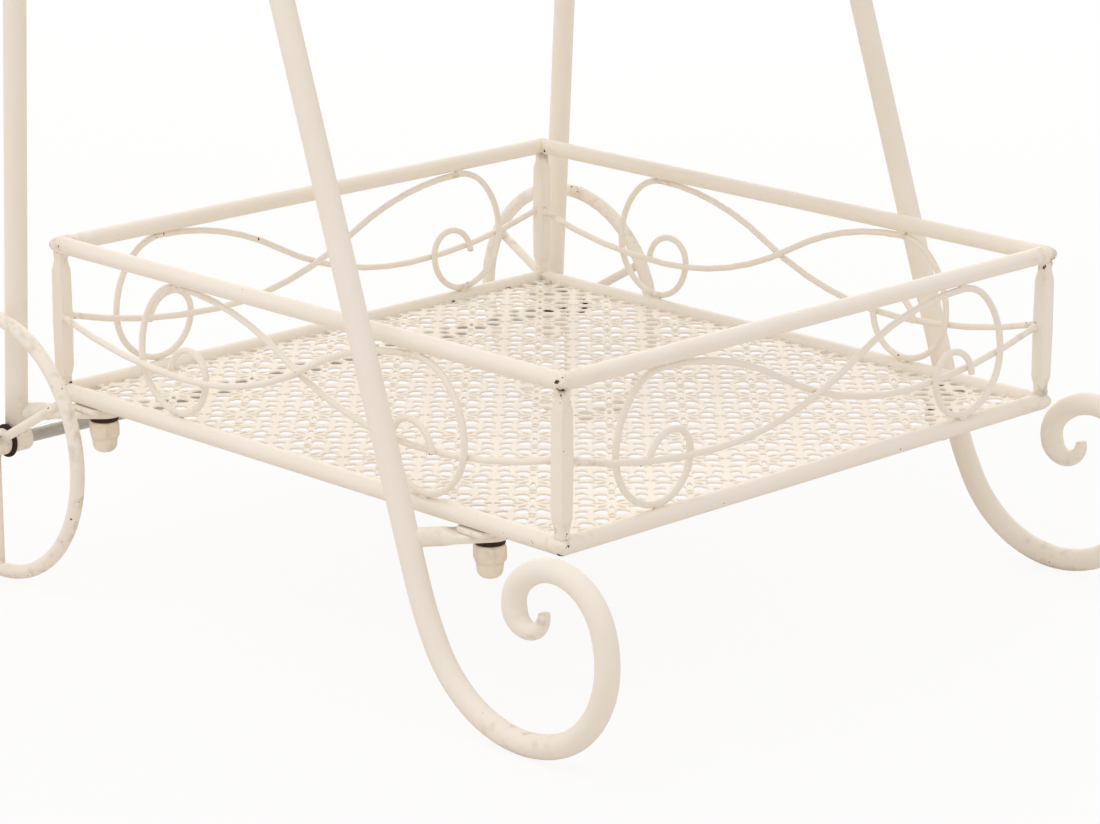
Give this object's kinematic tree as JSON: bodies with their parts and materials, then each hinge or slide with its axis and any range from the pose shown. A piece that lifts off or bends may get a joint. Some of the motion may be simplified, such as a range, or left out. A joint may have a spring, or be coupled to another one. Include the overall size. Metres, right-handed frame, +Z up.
{
  "type": "flower cart stand",
  "caption": "Stair-shaped wrought-wire flower cart with open trays, scroll fences and punched floors, on two scroll feet and two spoked wheels, with a handle bar across the top.",
  "frame": {"origin": "on the ground, under the middle of the cart's overall length and width", "axes": "+X towards the scroll feet, +Y towards the cart's left side, +Z up"},
  "size_m": [0.5194, 0.4742, 0.9118],
  "materials": {
    "cream_paint": "satin cream paint with small dark chips",
    "cream_nut": "gloss cream",
    "black_washer": "matte black",
    "axle_steel": "zinc plated"
  },
  "bodies": {
    "frame": {"lower_top_rail": "cream_paint", "lower_base_rail": "cream_paint", "lower_floor": "cream_paint", "lower_posts": "cream_paint", "lower_scrolls_front": "cream_paint", "lower_scrolls_back": "cream_paint", "lower_scrolls_left": "cream_paint", "lower_scrolls_right": "cream_paint", "lower_tabs": "cream_paint", "lower_studs": "cream_paint", "lower_washers": "black_washer", "lower_cap_nuts": "cream_nut", "middle_top_rail": "cream_paint", "middle_base_rail": "cream_paint", "middle_floor": "cream_paint", "middle_posts": "cream_paint", "middle_scrolls_front": "cream_paint", "middle_scrolls_back": "cream_paint", "middle_scrolls_left": "cream_paint", "middle_scrolls_right": "cream_paint", "middle_tabs": "cream_paint", "middle_studs": "cream_paint", "middle_washers": "black_washer", "middle_cap_nuts": "cream_nut", "upper_top_rail": "cream_paint", "upper_base_rail": "cream_paint", "upper_floor": "cream_paint", "upper_posts": "cream_paint", "upper_scrolls_front": "cream_paint", "upper_scrolls_back": "cream_paint", "upper_scrolls_left": "cream_paint", "upper_scrolls_right": "cream_paint", "upper_tabs": "cream_paint", "upper_studs": "cream_paint", "upper_washers": "black_washer", "upper_cap_nuts": "cream_nut", "scroll_leg_left": "cream_paint", "wheel_leg_left": "cream_paint", "front_lugs_left": "cream_paint", "rear_lugs_left": "cream_paint", "scroll_leg_right": "cream_paint", "wheel_leg_right": "cream_paint", "front_lugs_right": "cream_paint", "rear_lugs_right": "cream_paint", "axle_bushes": "cream_paint", "inner_axle_washers": "black_washer", "outer_axle_washers": "black_washer", "axle_cap_nuts": "cream_nut", "axle_rod": "axle_steel", "handle_bar": "cream_paint", "handle_screws": "cream_nut"},
    "left_wheel": {"left_rim": "cream_paint", "left_spokes": "cream_paint", "left_hub": "cream_paint"},
    "right_wheel": {"right_rim": "cream_paint", "right_spokes": "cream_paint", "right_hub": "cream_paint"}
  },
  "joints": [
    {"name": "left_wheel_spin", "type": "hinge", "parent": "frame", "child": "left_wheel", "pos_m": [-0.18621, 0.2133, 0.0735], "axis": [0, 1, 0], "continuous": true},
    {"name": "right_wheel_spin", "type": "hinge", "parent": "frame", "child": "right_wheel", "pos_m": [-0.18621, -0.2133, 0.0735], "axis": [0, 1, 0], "continuous": true}
  ]
}
